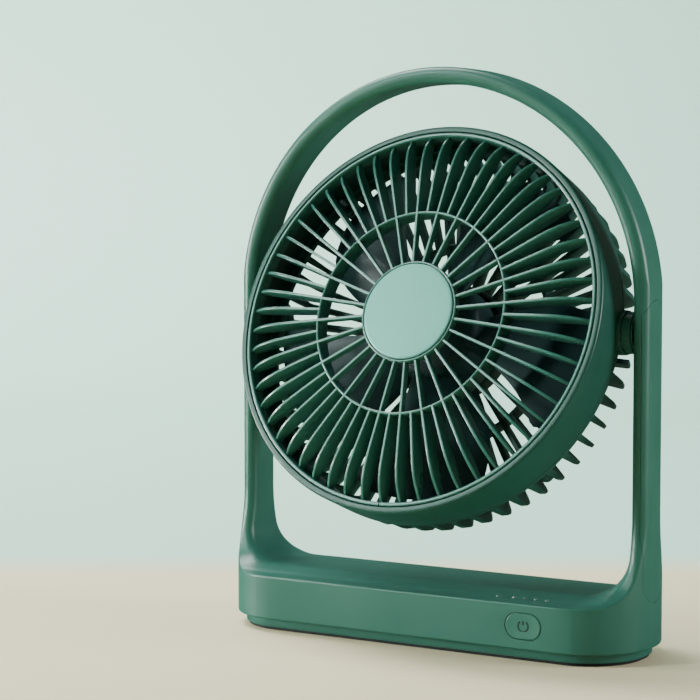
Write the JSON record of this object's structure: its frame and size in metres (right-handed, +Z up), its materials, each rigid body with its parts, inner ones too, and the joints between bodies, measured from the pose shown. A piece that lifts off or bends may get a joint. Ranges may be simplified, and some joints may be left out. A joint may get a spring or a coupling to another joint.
{
  "type": "desk fan",
  "caption": "Rechargeable desk fan: a round grilled head tilts between the posts of a D-shaped carrying frame on a flat base with one power button.",
  "frame": {"origin": "middle of the base's underside, where the fan stands", "axes": "+Z up, -Y towards the front that the air leaves from, +X towards the power button's end"},
  "size_m": [0.21, 0.1053, 0.2596],
  "materials": {
    "body_green": "satin moulded plastic with a fine grain",
    "grille_green": "satin moulded plastic",
    "button_green": "satin moulded plastic, shallow dish",
    "badge_green": "satin anodised disc with a fine turned grain",
    "impeller_green": "dark satin moulded plastic",
    "pivot_green": "satin moulded plastic",
    "pad_rubber": "matt",
    "cell_wrap": "shrink-wrapped lithium cell",
    "circuit_board": "solder mask over glass laminate",
    "switch_black": "moulded",
    "washer_black": "low-friction plastic",
    "light_guide": "clear moulded, polished",
    "lead_sleeve": "flexible sleeve",
    "brass_tube": "turned",
    "stator": "laminated steel core with lacquered copper windings",
    "magnet": "ferrite",
    "steel": "zinc-plated or bare steel"
  },
  "bodies": {
    "stand": {"frame_shell": "body_green", "side_cover_left": "body_green", "side_cover_right": "body_green", "bottom_plate": "body_green", "anti_slip_pad": "pad_rubber", "base_screw_1": "steel", "base_screw_2": "steel", "base_screw_3": "steel", "base_screw_4": "steel", "battery_cell_1": "cell_wrap", "battery_cell_2": "cell_wrap", "battery_board": "circuit_board", "main_board": "circuit_board", "button_board": "circuit_board", "button_switch": "switch_black", "light_guide": "light_guide", "usb_c_socket": "steel", "friction_washer_left": "washer_black", "friction_washer_right": "washer_black", "post_lead": "lead_sleeve"},
    "head": {"drum_housing": "body_green", "front_grille": "grille_green", "front_badge": "badge_green", "rear_grille": "body_green", "rear_screw_1": "steel", "rear_screw_2": "steel", "rear_screw_3": "steel", "rear_screw_4": "steel", "pivot_shaft_left": "pivot_green", "pivot_shaft_right": "pivot_green", "pivot_clip_left": "steel", "pivot_clip_right": "steel", "motor_base": "steel", "bearing_tube": "brass_tube", "bearing_rear": "steel", "bearing_front": "steel", "stator_core": "stator", "motor_board": "circuit_board", "motor_screw_1": "steel", "motor_screw_2": "steel", "motor_screw_3": "steel", "motor_lead": "lead_sleeve"},
    "rotor": {"impeller": "impeller_green", "motor_shaft": "steel", "rotor_can": "steel", "magnet_ring": "magnet", "impeller_nut": "steel"},
    "power_button": {"power_button": "button_green"}
  },
  "joints": [
    {"name": "head_tilt", "type": "hinge", "parent": "stand", "child": "head", "pos_m": [0, 0, 0.1423], "axis": [-1, 0, 0], "range_deg": [-110.6, 69.4]},
    {"name": "rotor_spin", "type": "hinge", "parent": "head", "child": "rotor", "pos_m": [0, -0.00113, 0.13931], "axis": [0, -0.9361, 0.3518], "continuous": true},
    {"name": "button_press", "type": "slide", "parent": "stand", "child": "power_button", "axis": [0, 1, 0], "range_m": [0, 0.0006], "stiffness_N_per_m": 1500}
  ]
}
